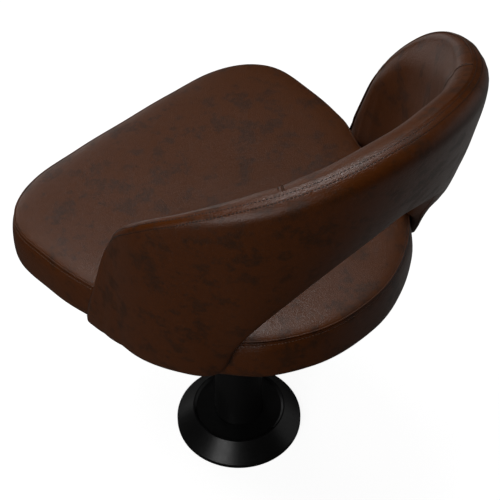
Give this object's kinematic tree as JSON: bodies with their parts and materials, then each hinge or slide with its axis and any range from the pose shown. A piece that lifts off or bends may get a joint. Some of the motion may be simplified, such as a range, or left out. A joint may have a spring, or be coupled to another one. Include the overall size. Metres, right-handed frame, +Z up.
{
  "type": "pedestal swivel armchair",
  "caption": "Upholstered tub armchair with padded wraparound back and wings, crowned seat and round swivel pedestal that bolts to the floor.",
  "frame": {"origin": "on the floor, at the centre of the pedestal's bolt circle", "axes": "+Z up along the swivel axis, +X to the sitter's left, -Y to the front"},
  "size_m": [0.4888, 0.5374, 0.7863],
  "materials": {
    "brown_leather": "aged semi-gloss",
    "dark_leather": "aged semi-gloss",
    "black_steel": "satin black enamel",
    "bright_steel": "zinc plated",
    "nylon": "matte",
    "plywood": "unfinished",
    "foam": "matte foam",
    "black_cloth": "matte"
  },
  "bodies": {
    "base": {"floor_plate": "black_steel", "base_gussets": "black_steel", "base_cover": "black_steel", "column_tube": "black_steel", "lower_bush": "nylon", "upper_bush": "nylon", "thrust_washer": "bright_steel"},
    "seat": {"spindle": "bright_steel", "spindle_washer": "bright_steel", "spindle_bolt": "bright_steel", "seat_plate": "black_steel", "plate_bolts": "bright_steel", "tee_nuts": "bright_steel", "seat_board": "plywood", "side_rail_left": "plywood", "side_rail_right": "plywood", "dust_cover": "black_cloth", "seat_core": "foam", "seat_top_panel": "brown_leather", "seat_boxing": "brown_leather", "seat_welt": "dark_leather", "side_bracket_left": "black_steel", "side_bracket_right": "black_steel", "bracket_bolts_left": "bright_steel", "bracket_bolts_right": "bright_steel", "tub_shell": "plywood", "outer_cover": "dark_leather", "back_pad": "brown_leather", "arm_pad_left": "brown_leather", "arm_pad_right": "brown_leather", "top_welt": "dark_leather", "edge_piping": "dark_leather"}
  },
  "joints": [
    {"name": "swivel", "type": "hinge", "parent": "base", "child": "seat", "pos_m": [0, 0, 0.344], "axis": [0, 0, 1], "continuous": true}
  ]
}
